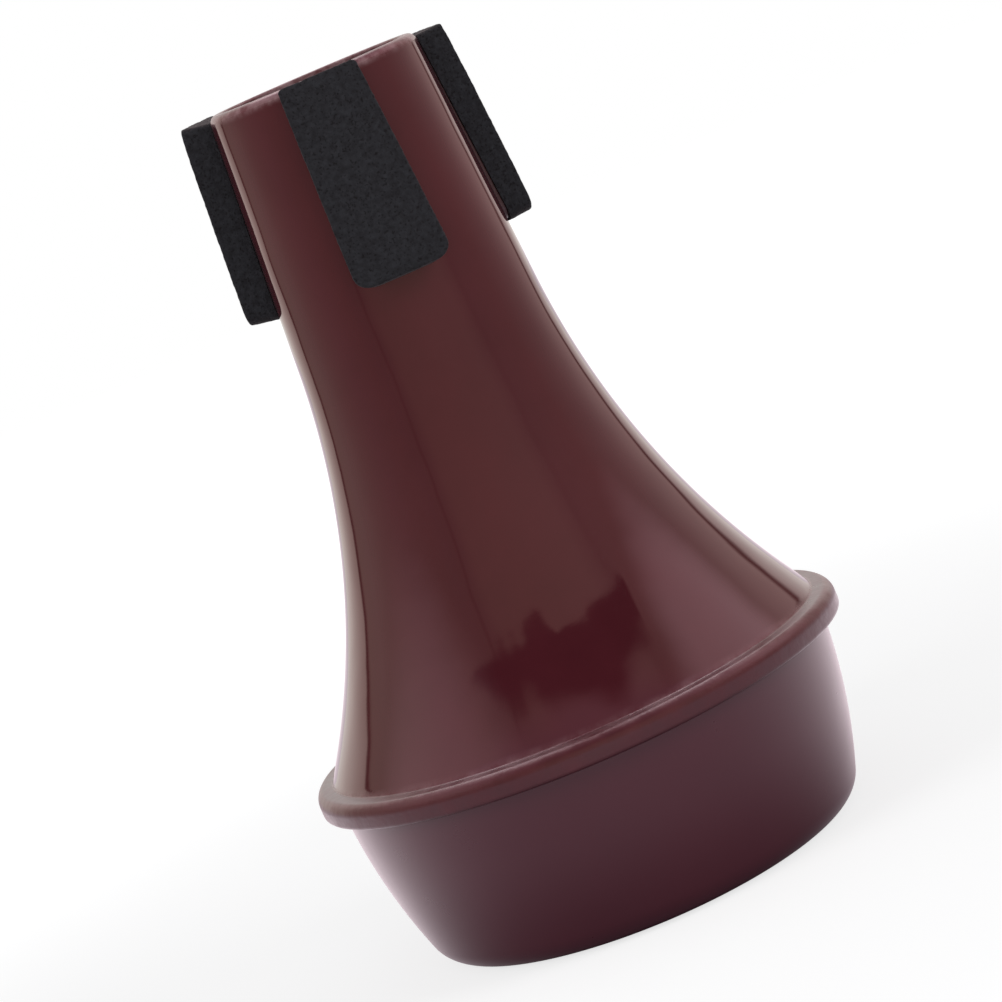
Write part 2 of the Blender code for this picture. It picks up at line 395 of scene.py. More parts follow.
def arc(centre, radius, start, end, steps):
    """Points of a circle: centre plus radius times (cos, sin), for an even run of turns."""
    turns = np.linspace(start, end, steps + 1)
    return np.column_stack((centre[0] + radius * np.cos(turns), centre[1] + radius * np.sin(turns)))


def run(start, end, steps):
    """Points of a straight line: start times (1 - share) plus end times share, for even shares."""
    share = np.linspace(0.0, 1.0, steps + 1)[:, None]
    return np.asarray(start) * (1.0 - share) + np.asarray(end) * share


def put_mesh(name, points, faces):
    """Make a mesh of grid points and faces, weld its seams and poles and turn its faces outwards."""
    mesh = bpy.data.meshes.new(name)
    mesh.from_pydata(points.tolist(), [], faces.tolist())
    shape = bmesh.new()
    shape.from_mesh(mesh)
    bmesh.ops.remove_doubles(shape, verts=shape.verts, dist=WELD)
    bmesh.ops.recalc_face_normals(shape, faces=shape.faces)
    shape.to_mesh(mesh)
    shape.free()
    mesh.shade_smooth()
    mesh.set_sharp_from_angle(angle=CRISP)
    piece = bpy.data.objects.new(name, mesh)
    bpy.context.scene.collection.objects.link(piece)
    return piece


def turned(name, outline, sides):
    """A turned piece: x = r cos(turn), y = r sin(turn), z = height, for each outline point and turn."""
    turns = np.linspace(0.0, 2.0 * pi, sides, endpoint=False)
    radius, height = outline[:, 0][:, None], outline[:, 1][:, None]
    grid = np.stack(
        (radius * np.cos(turns), radius * np.sin(turns), height * np.ones_like(turns)), axis=-1
    )
    count = len(outline)
    ring, side = np.meshgrid(np.arange(count), np.arange(sides), indexing="ij")
    after, beside = (ring + 1) % count, (side + 1) % sides
    faces = np.stack(
        (ring * sides + side, ring * sides + beside, after * sides + beside, after * sides + side),
        axis=-1,
    )
    return put_mesh(name, grid.reshape(-1, 3), faces.reshape(-1, 4))


def flare_centre(shape):
    """The centre of the flare's sweep: square to the neck's taper, a flare radius out from its end."""
    end_radius = shape.neck_radius + shape.neck_length * tan(shape.neck_taper)
    return (
        end_radius + shape.flare_radius * cos(shape.neck_taper),
        shape.height - shape.neck_length + shape.flare_radius * sin(shape.neck_taper),
    )


def cone_outline(shape):
    """The cone's wall in section: outer skin from the rim down, bead, groove, spigot, inner skin up."""
    centre = flare_centre(shape)
    rim_edge = shape.neck_radius + shape.rim_outer_drop * tan(shape.neck_taper)
    rim = arc((0.0, 0.0), 1.0, pi / 2, 0.0, steps=16)
    rim = rim * (rim_edge - shape.neck_radius + shape.rim_outer_round, shape.rim_outer_drop) + (
        shape.neck_radius - shape.rim_outer_round, shape.height - shape.rim_outer_drop
    )
    # The ledge's straight line touches the fillet on one side and the crest's round on the other.
    tilt = pi / 2 - shape.bead_lean
    reach = shape.flare_radius - shape.bead_fillet
    shoulder = (shape.bead_radius - shape.bead_round, shape.bead_middle)
    tighter = shape.bead_round - shape.bead_crest_round
    crest = (
        shoulder[0] + tighter * cos(shape.bead_crest), shoulder[1] + tighter * sin(shape.bead_crest)
    )
    above = (centre[0] - crest[0]) * cos(tilt) + (centre[1] - crest[1]) * sin(tilt)
    drop = tilt - np.arccos((above - shape.bead_fillet - shape.bead_crest_round) / reach)
    flare = arc(centre, shape.flare_radius, pi + shape.neck_taper, pi + drop, steps=70)
    neck = run(rim[-1], flare[0], steps=20)[1:-1]
    fillet = arc(
        (centre[0] - reach * cos(drop), centre[1] - reach * sin(drop)),
        shape.bead_fillet, pi + drop, pi + tilt, steps=12,
    )
    turnover = arc(crest, shape.bead_crest_round, tilt, shape.bead_crest, steps=8)
    upper = arc(shoulder, shape.bead_round, shape.bead_crest, 0.0, steps=14)[1:]
    ledge = run(fillet[-1], turnover[0], steps=6)[1:-1]
    underside = shape.bead_underside
    low_shoulder = (shape.bead_radius - shape.bead_low_round, underside + shape.bead_low_round)
    lower = arc(low_shoulder, shape.bead_low_round, 0.0, -pi / 2, steps=10)
    groove_floor = underside + GROOVE_DEPTH
    spigot_end = underside - SPIGOT_DROP
    spigot_radius = shape.cup_radius - SPIGOT_INSET
    joint = np.array(
        (
            (shape.cup_radius + GROOVE_PLAY, underside),
            (shape.cup_radius + GROOVE_PLAY, groove_floor),
            (spigot_radius, groove_floor),
            (spigot_radius, spigot_end + SPIGOT_CHAMFER),
            (spigot_radius - SPIGOT_CHAMFER, spigot_end),
            (spigot_radius - SPIGOT_END, spigot_end),
        )
    )
    sweep = shape.flare_radius + shape.wall
    meets = np.arccos((centre[0] - (spigot_radius - SPIGOT_END)) / sweep)
    inner = arc(centre, sweep, pi + meets, pi + shape.neck_taper, steps=60)
    bore = shape.neck_radius - shape.wall / cos(shape.neck_taper)
    inner_rim = arc(
        (bore + shape.rim_inner_round, shape.height - shape.rim_inner_round),
        shape.rim_inner_round, pi, pi / 2, steps=6,
    )
    bore_wall = run(inner[-1], inner_rim[0], steps=20)[1:-1]
    return np.concatenate(
        (rim, neck, flare, fillet[1:], ledge, turnover, upper, lower, joint, inner, bore_wall,
         inner_rim)
    )


def cup_skin(shape, inset, bow_steps, corner_steps):
    """A skin of the cup, inset from the outer one: the wall's bow, then the corner's arc to the base."""
    bow_centre = (
        shape.cup_radius - shape.cup_bow * cos(shape.cup_lean),
        shape.bead_underside + shape.cup_bow * sin(shape.cup_lean),
    )
    reach = shape.cup_bow - shape.cup_corner
    fall = np.arcsin((bow_centre[1] - shape.cup_corner) / reach)
    corner_centre = (bow_centre[0] + reach * cos(fall), shape.cup_corner)
    bow = arc(bow_centre, shape.cup_bow - inset, -shape.cup_lean, -fall, bow_steps)
    corner = arc(corner_centre, shape.cup_corner - inset, -fall, -pi / 2, corner_steps)
    return np.concatenate((bow, corner[1:]))


def cup_outline(shape):
    """The cup's wall in section: rim, outer skin down and in to the axis, inner skin back up."""
    rim_top = shape.bead_underside + CUP_RIM_RISE
    inner_radius = shape.cup_radius - shape.wall
    rim = np.array(
        (
            (inner_radius, rim_top - CUP_CHAMFER),
            (inner_radius + CUP_CHAMFER, rim_top),
            (shape.cup_radius - CUP_CHAMFER, rim_top),
            (shape.cup_radius, rim_top - CUP_CHAMFER),
        )
    )
    outer = cup_skin(shape, inset=0.0, bow_steps=30, corner_steps=24)
    base = run(outer[-1], (GATE_RADIUS, 0.0), steps=12)[1:]
    gate = np.array(((GATE_FLOOR_RADIUS, GATE_DEPTH), (0.0, GATE_DEPTH)))
    inner = cup_skin(shape, inset=shape.wall, bow_steps=24, corner_steps=14)[::-1]
    floor = run((0.0, shape.wall), inner[0], steps=10)[:-1]
    return np.concatenate((rim, outer, base, gate, floor, inner))


def section_loop(across_steps):
    """One loop round a strip's section, as weights for half its width, its edge round and its thickness.

    A point is x = a * half + b * edge, z = c * thick + d * edge. The loop runs over the glued face,
    up one side, round its upper edge, back over the outer face and down the other side.
    """
    flat = np.linspace(-1.0, 1.0, across_steps + 1)
    rise = np.linspace(0.0, 1.0, SIDE_STEPS + 1)[1:-1]
    turns = np.linspace(0.0, pi / 2, EDGE_STEPS + 1)
    back = flat[::-1][1:-1]
    fall, unturn = rise[::-1], turns[::-1]
    a = (flat, 1 + 0 * rise, 1 + 0 * turns, back, -1 + 0 * turns, -1 + 0 * fall)
    b = (0 * flat, 0 * rise, np.cos(turns) - 1, -back, 1 - np.cos(unturn), 0 * fall)
    c = (0 * flat, rise, 1 + 0 * turns, 1 + 0 * back, 1 + 0 * turns, fall)
    d = (0 * flat, -rise, np.sin(turns) - 1, 0 * back, np.sin(unturn) - 1, -fall)
    return [np.concatenate(part) for part in (a, b, c, d)]


def strip_blank(pad, inset, thickness, edge, across_steps, along_steps):
    """A flat strip: its section carried down its length.

    Towards each end the half width follows the corner's circle and the thickness the edge's, and
    the last loop is drawn together at middle height, which makes a flat end face.
    """
    first, last = inset, pad.length - inset
    close = 1.0 - np.cos(np.linspace(0.0, pi / 2, CORNER_STEPS + 1))
    top_end = first + pad.top_round * close
    low_end = (last - pad.low_round * close)[::-1]
    middle = np.linspace(top_end[-1], low_end[0], along_steps + 1)[1:-1]
    along = np.concatenate((top_end, middle, low_end))
    half = (pad.top_width + (pad.low_width - pad.top_width) * along / pad.length) / 2 - inset
    for from_end, corner in ((along - first, pad.top_round), (last - along, pad.low_round)):
        short = np.clip(corner - from_end, 0.0, corner)
        half = half - (corner - np.sqrt(corner**2 - short**2))
    short = np.clip(edge - np.minimum(along - first, last - along), 0.0, edge)
    thick = thickness - (edge - np.sqrt(edge**2 - short**2))
    a, b, c, d = section_loop(across_steps)
    x = half[:, None] * a + edge * b
    z = thick[:, None] * c + edge * d
    y = along[:, None] * np.ones_like(x)
    shut = np.full_like(z[:1], thickness / 2)
    z = np.concatenate((shut, z, shut))
    return np.concatenate((x[:1], x, x[-1:])), np.concatenate((y[:1], y, y[-1:])), z


def nap(x, y, z, depth):
    """Uneven foam: each way, a sum of sine waves of seeded directions, lengths and phases.

    It fades to nothing at the glued face.
    """
    chance = np.random.default_rng(NAP_SEED)
    points = np.stack((x, y, z), axis=-1)
    held = np.clip(z / NAP_FULL, 0.0, 1.0)
    shift = []
    for _ in range(3):
        ways = chance.normal(size=(NAP_WAVES, 3))
        ways /= np.linalg.norm(ways, axis=1, keepdims=True)
        lengths = chance.uniform(NAP_SHORT, NAP_LONG, NAP_WAVES)
        phases = chance.uniform(0.0, 2 * pi, NAP_WAVES)
        waves = np.sin(points @ (ways * (2 * pi / lengths)[:, None]).T + phases)
        shift.append(depth * held * waves.sum(axis=-1) / np.sqrt(NAP_WAVES / 2))
    return x + shift[0], y + shift[1], z + shift[2]


def foot(place, along, length):
    """How far the foam stands off the neck, even from its top end to its low end."""
    return place.foot_top + (place.foot_low - place.foot_top) * along / length


def wrapped(name, blank, pad, shape, place):
    """Bend a flat strip round the neck: distance across becomes a turn, distance down its slope."""
    x, y, z = blank
    across = x + place.drift * (y - pad.length / 2)
    down = y + place.setback - place.drag * z / pad.thickness
    wall = shape.neck_radius + down * sin(shape.neck_taper)
    bend = across / (wall + pad.tape + 2 * pad.gap) + place.turn
    radius = wall + z * cos(shape.neck_taper)
    height = shape.height - down * cos(shape.neck_taper) + z * sin(shape.neck_taper)
    grid = np.stack((radius * np.sin(bend), -radius * np.cos(bend), height), axis=-1)
    rows, columns = x.shape
    row, column = np.meshgrid(np.arange(rows - 1), np.arange(columns), indexing="ij")
    beside = (column + 1) % columns
    faces = np.stack(
        (row * columns + column, row * columns + beside, (row + 1) * columns + beside,
         (row + 1) * columns + column),
        axis=-1,
    )
    return put_mesh(name, grid.reshape(-1, 3), faces.reshape(-1, 4))


def new_material(name):
    """A new material, with the nodes and the links that a finish is built from."""
    material = bpy.data.materials.new(name)
    material.use_nodes = True
    return material, material.node_tree.nodes, material.node_tree.links


def object_noise(nodes, links, scale, detail, roughness=0.5, kind="FBM", distortion=0.0):
    """A noise on Object coordinates; scale is in waves per metre."""
    place = nodes.new("ShaderNodeTexCoord")
    noise = nodes.new("ShaderNodeTexNoise")
    noise.noise_type = kind
    noise.inputs["Scale"].default_value = scale
    noise.inputs["Detail"].default_value = detail
    noise.inputs["Roughness"].default_value = roughness
    noise.inputs["Distortion"].default_value = distortion
    links.new(place.outputs["Object"], noise.inputs["Vector"])
    return noise.outputs["Fac"]


def ramp(nodes, links, source, low, high, dark, light):
    """A colour that runs from dark to light as the source goes from low to high."""
    node = nodes.new("ShaderNodeValToRGB")
    node.color_ramp.elements[0].position = low
    node.color_ramp.elements[0].color = (*dark, 1.0)
    node.color_ramp.elements[1].position = high
    node.color_ramp.elements[1].color = (*light, 1.0)
    links.new(source, node.inputs["Fac"])
    return node.outputs["Color"]


def span(nodes, links, source, low, high):
    """A number that runs from low to high with the source."""
    node = nodes.new("ShaderNodeMapRange")
    node.inputs["To Min"].default_value = low
    node.inputs["To Max"].default_value = high
    links.new(source, node.inputs["Value"])
    return node.outputs["Result"]


def math_of(nodes, links, operation, first, second=None):
    """The result of one Math node; each of the two is a number or another node's output."""
    node = nodes.new("ShaderNodeMath")
    node.operation = operation
    for socket, value in zip(node.inputs, (first, second)):
        if isinstance(value, (int, float)):
            socket.default_value = value
        elif value is not None:
            links.new(value, socket)
    return node.outputs[0]


def smooth_step(nodes, links, source, low, high):
    """0 below low and 1 above high, smoothly between; with low above high it falls instead."""
    node = nodes.new("ShaderNodeMapRange")
    node.interpolation_type = "SMOOTHSTEP"
    node.inputs["From Min"].default_value = low
    node.inputs["From Max"].default_value = high
    links.new(source, node.inputs["Value"])
    return node.outputs["Result"]


def mixed(nodes, links, blend, factor, first, second):
    """Mix two colours, each a tuple or another node's output."""
    node = nodes.new("ShaderNodeMix")
    node.data_type = "RGBA"
    node.blend_type = blend
    for name, value in (("Factor", factor), ("A", first), ("B", second)):
        if isinstance(value, (int, float)):
            node.inputs[name].default_value = value
        elif isinstance(value, tuple):
            node.inputs[name].default_value = (*value, 1.0)
        else:
            links.new(value, node.inputs[name])
    return node.outputs["Result"]


def colour_stops(nodes, links, source, stops):
    """A colour that follows the stops, each (place from 0 to 1, colour)."""
    node = nodes.new("ShaderNodeValToRGB")
    elements = node.color_ramp.elements
    while len(elements) < len(stops):
        elements.new(0.5)
    for element, (place, colour) in zip(elements, stops):
        element.position = place
        element.color = (*colour, 1.0)
    links.new(source, node.inputs["Fac"])
    return node.outputs["Color"]


def bump(nodes, links, shader, heights):
    """Stack bumps, each (height, depth in metres), onto the shader's normal."""
    normal = None
    for height, depth in heights:
        node = nodes.new("ShaderNodeBump")
        node.inputs["Strength"].default_value = 1.0
        node.inputs["Distance"].default_value = depth
        links.new(height, node.inputs["Height"])
        if normal is not None:
            links.new(normal, node.inputs["Normal"])
        normal = node.outputs["Normal"]
    links.new(normal, shader.inputs["Normal"])


def tint(colour, factor):
    """The colour made darker or lighter by a factor."""
    return tuple(channel * factor for channel in colour)


def cone_plastic(colour, rim_height, bead_height):
    """Glossy moulded plastic with a slow ripple; rim and bead are worn dull, the bead is darkened as
    painted shade, and rim and crest carry pale painted highlights.
    """
    material, nodes, links = new_material("cone_gloss")
    shader = nodes["Principled BSDF"]
    place = nodes.new("ShaderNodeTexCoord")
    split = nodes.new("ShaderNodeSeparateXYZ")
    links.new(place.outputs["Object"], split.inputs["Vector"])
    height = split.outputs["Z"]
    at_rim_wear_and_highlight = smooth_step(nodes, links, height, *(rim_height + off for off in RIM_WEAR_AND_HIGHLIGHT))
    at_bead_wear_and_painted_light = smooth_step(nodes, links, height, *(bead_height + off for off in BEAD_WEAR_AND_PAINTED_LIGHT))
    at_crest_highlight = smooth_step(nodes, links, height, *(bead_height + off for off in CREST_HIGHLIGHT_HEIGHTS))
    worn = math_of(nodes, links, "MAXIMUM", at_rim_wear_and_highlight, at_bead_wear_and_painted_light)
    wear = object_noise(nodes, links, scale=260.0, detail=4.0, roughness=0.6)
    cloud = object_noise(nodes, links, scale=45.0, detail=4.0, roughness=0.6)
    ground = ramp(nodes, links, cloud, 0.30, 0.70, tint(colour, 0.90), tint(colour, 1.10))
    # painted shade: the bead's band is darkened in the base colour, its tone varying with the wear's noise
    bead_wear_with_painted_light = ramp(nodes, links, wear, 0.35, 0.75, tint(colour, 0.85), tint(colour, 1.10))
    # painted highlight: pale patches along the bead's crest and ledge, lifted in the base colour
    crest = ramp(nodes, links, wear, *PAINTED_HIGHLIGHT_WHERE, tint(colour, 1.1), CREST_PAINTED_HIGHLIGHT)
    # painted highlight: the worn rim's base colour is lifted to pale patches that stand in for its broad
    # highlight
    rim = ramp(nodes, links, wear, *PAINTED_HIGHLIGHT_WHERE, tint(colour, 1.2), RIM_PAINTED_HIGHLIGHT)
    bead_wear_with_painted_light = mixed(nodes, links, "MIX", at_crest_highlight, bead_wear_with_painted_light, crest)
    ground = mixed(nodes, links, "MIX", at_bead_wear_and_painted_light, ground, bead_wear_with_painted_light)
    links.new(mixed(nodes, links, "MIX", at_rim_wear_and_highlight, ground, rim), shader.inputs["Base Color"])
    wipe = object_noise(nodes, links, scale=90.0, detail=4.0, roughness=0.6)
    clean = span(nodes, links, wipe, 0.03, 0.09)
    dull = span(nodes, links, wear, 0.22, 0.46)
    roughness = nodes.new("ShaderNodeMix")
    links.new(worn, roughness.inputs["Factor"])
    links.new(clean, roughness.inputs["A"])
    links.new(dull, roughness.inputs["B"])
    links.new(roughness.outputs["Result"], shader.inputs["Roughness"])
    shader.inputs["IOR"].default_value = 1.5
    ripple = object_noise(nodes, links, scale=60.0, detail=1.5)
    dents = math_of(nodes, links, "MULTIPLY", wear, worn)
    skin = object_noise(nodes, links, scale=900.0, detail=2.0)
    bump(nodes, links, shader, ((ripple, 0.22 * MM), (dents, 0.12 * MM), (skin, 0.002 * MM)))
    return material


def cup_plastic(colour):
    """Satin moulded plastic: the fine spark-eroded grain of the mould scatters the gloss."""
    material, nodes, links = new_material("cup_satin")
    shader = nodes["Principled BSDF"]
    cloud = object_noise(nodes, links, scale=30.0, detail=4.0)
    ground = ramp(nodes, links, cloud, 0.3, 0.7, tint(colour, 0.93), tint(colour, 1.07))
    links.new(ground, shader.inputs["Base Color"])
    wear = object_noise(nodes, links, scale=70.0, detail=5.0, roughness=0.6)
    links.new(span(nodes, links, wear, 0.24, 0.34), shader.inputs["Roughness"])
    shader.inputs["IOR"].default_value = 1.53
    grain = object_noise(nodes, links, scale=3500.0, detail=3.0)
    bump(nodes, links, shader, ((grain, 0.006 * MM),))
    return material


def pad_foam(colour):
    """Napped foam: a mottled ground with short light fibres, pores darkened as painted shade, and hardly
    any gloss.
    """
    material, nodes, links = new_material("pad_foam")
    shader = nodes["Principled BSDF"]
    mottle = object_noise(nodes, links, scale=1100.0, detail=4.0, roughness=0.6)
    fibre = object_noise(
        nodes, links, scale=620.0, detail=3.0, kind="RIDGED_MULTIFRACTAL", distortion=0.6
    )
    pores = object_noise(nodes, links, scale=2300.0, detail=1.0)
    ground = ramp(nodes, links, mottle, 0.32, 0.68, tint(colour, 0.65), tint(colour, 1.35))
    light = ramp(nodes, links, fibre, 0.70, 0.95, (0.0, 0.0, 0.0), tint(colour, 1.2))
    # painted shade: the pores are darkened where shade falls inside them
    dark = ramp(nodes, links, pores, 0.30, 0.42, (0.35, 0.35, 0.35), (1.0, 1.0, 1.0))
    ground = mixed(nodes, links, "ADD", 1.0, ground, light)
    links.new(mixed(nodes, links, "MULTIPLY", 1.0, ground, dark), shader.inputs["Base Color"])
    shader.inputs["Roughness"].default_value = 0.9
    shader.inputs["Specular IOR Level"].default_value = 0.25
    shader.inputs["Sheen Weight"].default_value = 0.05
    shader.inputs["Sheen Roughness"].default_value = 0.5
    bump(nodes, links, shader, ((mottle, 0.16 * MM), (fibre, 0.06 * MM), (pores, 0.08 * MM)))
    return material


def tape_film(colour):
    """Thin tape: a dull film with a slightly wavy cut edge."""
    material, nodes, links = new_material("tape_film")
    shader = nodes["Principled BSDF"]
    cloud = object_noise(nodes, links, scale=300.0, detail=3.0)
    ground = ramp(nodes, links, cloud, 0.3, 0.7, tint(colour, 0.8), tint(colour, 1.3))
    links.new(ground, shader.inputs["Base Color"])
    links.new(span(nodes, links, cloud, 0.25, 0.45), shader.inputs["Roughness"])
    bump(nodes, links, shader, ((cloud, 0.01 * MM),))
    return material


def dress(piece, material, slot, *nodes):
    """Give a finished piece its material, put it on the mute's body and let it stand for CAD nodes."""
    piece.data.materials.append(material)
    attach(piece, "root")
    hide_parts(*nodes)


class MUTE_OT_cone(bpy.types.Operator):
    """Turn the glossy cone with its bead and joint"""

    bl_idname = "mute.cone"
    bl_label = "Cone body"

    def execute(self, context):
        scene = context.scene
        shape = scene.mute_shape
        cone = turned("cone_shell", cone_outline(shape), shape.sides)
        colour = tuple(scene.mute_colours.cone)
        bead_top = shape.bead_middle + shape.bead_round
        dress(cone, cone_plastic(colour, shape.height, bead_top), "cone_plastic", "cone_body")
        return {"FINISHED"}


class MUTE_OT_cup(bpy.types.Operator):
    """Turn the satin end cup"""

    bl_idname = "mute.cup"
    bl_label = "End cup"

    def execute(self, context):
        scene = context.scene
        shape = scene.mute_shape
        cup = turned("cup_shell", cup_outline(shape), shape.sides)
        dress(cup, cup_plastic(tuple(scene.mute_colours.cup)), "cup_plastic", "end_cup")
        return {"FINISHED"}


class MUTE_OT_pads(bpy.types.Operator):
    """Bend the three foam pads round the neck"""

    bl_idname = "mute.pads"
    bl_label = "Foam pads"

    def execute(self, context):
        scene = context.scene
        shape, pad = scene.mute_shape, scene.pad_shape
        material = pad_foam(tuple(scene.mute_colours.foam))
        x, y, z = strip_blank(
            pad, inset=0.0, thickness=pad.thickness, edge=pad.edge_round, across_steps=64,
            along_steps=130,
        )
        ends = np.exp(-y / pad.press_reach) + np.exp((y - pad.length) / pad.press_reach)
        z = z * (1.0 - pad.press / pad.thickness * ends)
        x, y, z = nap(x, y, z, pad.nap)
        top = pad.tape + 2 * pad.gap + pad.thickness
        for place in PAD_PLACES:
            start = foot(place, y, pad.length)
            off = start + TOUCH + z * (top - start - TOUCH) / pad.thickness
            foam = wrapped("foam_" + place.name, (x, y, off), pad, shape, place)
            dress(foam, material, "pad_foam", "foam_pad_" + place.name)
        return {"FINISHED"}


class MUTE_OT_tapes(bpy.types.Operator):
    """Lay the tape and its adhesive between the neck and each pad"""

    bl_idname = "mute.tapes"
    bl_label = "Pad tapes"

    def execute(self, context):
        scene = context.scene
        shape, pad = scene.mute_shape, scene.pad_shape
        material = tape_film(tuple(scene.mute_colours.tape))
        x, y, z = strip_blank(
            pad, inset=pad.tape_inset, thickness=pad.tape, edge=TAPE_EDGE, across_steps=24,
            along_steps=40,
        )
        for place in PAD_PLACES:
            off = TOUCH + z * (foot(place, y, pad.length) - 2 * TOUCH) / pad.tape
            tape = wrapped("tape_" + place.name, (x, y, off), pad, shape, place)
            dress(tape, material, "tape_film", "pad_tape_" + place.name)
        return {"FINISHED"}


def stage_floor():
    """A pale floor that is white to the camera and keeps the shadow of the mute.

    It lies a hair below the mute's base, so that the two faces don't share a plane.
    """
    corners = [
        (FLOOR_HALF * x, FLOOR_HALF * y, -TOUCH) for x, y in ((-1, -1), (1, -1), (1, 1), (-1, 1))
    ]
    mesh = bpy.data.meshes.new("floor")
    mesh.from_pydata(corners, [], [(0, 1, 2, 3)])
    floor = bpy.data.objects.new("floor", mesh)
    bpy.context.scene.collection.objects.link(floor)
    material, nodes, links = new_material("pale_floor")
    shader = nodes["Principled BSDF"]
    shader.inputs["Roughness"].default_value = 0.9
    shader.inputs["Specular IOR Level"].default_value = 0.0
    lit = nodes.new("ShaderNodeEmission")
    path = nodes.new("ShaderNodeLightPath")
    colour = mixed(nodes, links, "MIX", path.outputs["Is Glossy Ray"], FLOOR_COLOUR, FLOOR_IN_GLOSS)
    links.new(colour, shader.inputs["Base Color"])
    place = nodes.new("ShaderNodeTexCoord")
    split = nodes.new("ShaderNodeSeparateXYZ")
    links.new(place.outputs["Object"], split.inputs["Vector"])
    away = nodes.new("ShaderNodeVectorMath")
    away.operation = "LENGTH"
    links.new(place.outputs["Object"], away.inputs[0])
    distance = away.outputs["Value"]
    far = smooth_step(nodes, links, distance, *FLOOR_FAR)
    whiteness = span(nodes, links, far, *FLOOR_TO_CAMERA)
    seen = math_of(nodes, links, "MULTIPLY", path.outputs["Is Camera Ray"], whiteness)
    backward = math_of(nodes, links, "DIVIDE", split.outputs["Y"], distance)
    behind = smooth_step(nodes, links, backward, *SHINE_TURNS)
    near = smooth_step(nodes, links, distance, *SHINE_NEAR)
    shines = []
    for strength, reach, factor, hue, beside in (SHINE_FRONT, SHINE_BEHIND):
        further = smooth_step(nodes, links, distance, *reach)
        further = span(nodes, links, further, strength, strength * factor)
        glow = math_of(nodes, links, "MULTIPLY", further, span(nodes, links, near, beside, 1.0))
        tinted = nodes.new("ShaderNodeVectorMath")
        tinted.operation = "SCALE"
        tinted.inputs[0].default_value = hue
        links.new(glow, tinted.inputs["Scale"])
        shines.append(tinted.outputs["Vector"])
    shine = mixed(nodes, links, "MIX", behind, *shines)
    grey = nodes.new("ShaderNodeCombineXYZ")
    for socket in grey.inputs:
        links.new(seen, socket)
    added = mixed(nodes, links, "MIX", path.outputs["Is Glossy Ray"], grey.outputs["Vector"], shine)
    links.new(added, lit.inputs["Color"])
    both = nodes.new("ShaderNodeAddShader")
    links.new(shader.outputs["BSDF"], both.inputs[0])
    links.new(lit.outputs["Emission"], both.inputs[1])
    links.new(both.outputs[0], nodes["Material Output"].inputs["Surface"])
    mesh.materials.append(material)


def tent_gloss(nodes, links):
    """The light tent as the gloss sees it, by direction.

    Four walls meet in dim seams, a dark slot runs over the front wall, and lamps glow through
    the upper sides and the wall behind. Turns run from the front, -Y, towards +X.
    """
    place = nodes.new("ShaderNodeTexCoord")
    split = nodes.new("ShaderNodeSeparateXYZ")
    links.new(place.outputs["Generated"], split.inputs["Vector"])
    x, y, z = split.outputs
    frontward = math_of(nodes, links, "MULTIPLY", y, -1.0)
    turn = math_of(nodes, links, "ARCTAN2", x, frontward)
    turn = math_of(nodes, links, "MULTIPLY", turn, degrees(1.0))
    rise = math_of(nodes, links, "MULTIPLY", math_of(nodes, links, "ARCSINE", z), degrees(1.0))
    round_share = math_of(nodes, links, "ADD", math_of(nodes, links, "DIVIDE", turn, 360.0), 0.5)
    stops = [(degree / 360.0 + 0.5, colour) for degree, colour in TENT_WALLS]
    walls = colour_stops(nodes, links, round_share, stops)
    low_share, high_share, full_rise = WALLS_BRIGHTEN
    brighten = smooth_step(nodes, links, rise, 0.0, full_rise)
    brighten = span(nodes, links, brighten, low_share, high_share)
    scaled = nodes.new("ShaderNodeVectorMath")
    scaled.operation = "SCALE"
    links.new(walls, scaled.inputs[0])
    links.new(brighten, scaled.inputs["Scale"])
    ceiling = smooth_step(nodes, links, rise, *CEILING_FROM)
    walls = mixed(nodes, links, "MIX", ceiling, scaled.outputs["Vector"], TENT_CEILING)
    # The slot's edges ride in a colour: red is its foot's rise and green its top's, as shares of 90
    stops = [
        (degree / 360.0 + 0.5, (low / 90.0, high / 90.0, 0.0)) for degree, low, high in SLOT_EDGES
    ]
    edges = nodes.new("ShaderNodeSeparateColor")
    links.new(colour_stops(nodes, links, round_share, stops), edges.inputs["Color"])
    slot_foot = math_of(nodes, links, "MULTIPLY", edges.outputs["Red"], 90.0)
    slot_top = math_of(nodes, links, "MULTIPLY", edges.outputs["Green"], 90.0)
    foot_soft, top_soft = SLOT_SOFT
    over_foot = math_of(nodes, links, "SUBTRACT", rise, slot_foot)
    over_foot = smooth_step(nodes, links, over_foot, -foot_soft, foot_soft)
    under_top = math_of(nodes, links, "SUBTRACT", slot_top, rise)
    under_top = smooth_step(nodes, links, under_top, -top_soft, top_soft)
    slot = math_of(nodes, links, "MULTIPLY", over_foot, under_top)
    walls = mixed(nodes, links, "MIX", slot, walls, TENT_SLOT)
    under_ceiling = smooth_step(nodes, links, rise, *SIDE_LAMPS_END)
    for turn_at, rise_at, inner, outer, glow in TENT_LAMPS:
        level = cos(radians(rise_at))
        aim = nodes.new("ShaderNodeVectorMath")
        aim.operation = "DOT_PRODUCT"
        links.new(place.outputs["Generated"], aim.inputs[0])
        aim.inputs[1].default_value = (
            level * sin(radians(turn_at)), -level * cos(radians(turn_at)), sin(radians(rise_at))
        )
        share = smooth_step(nodes, links, aim.outputs["Value"], cos(radians(outer)), cos(radians(inner)))
        if abs(turn_at) < SIDE_TURN:
            share = math_of(nodes, links, "MULTIPLY", share, under_ceiling)
        walls = mixed(nodes, links, "ADD", share, walls, glow)
    return walls


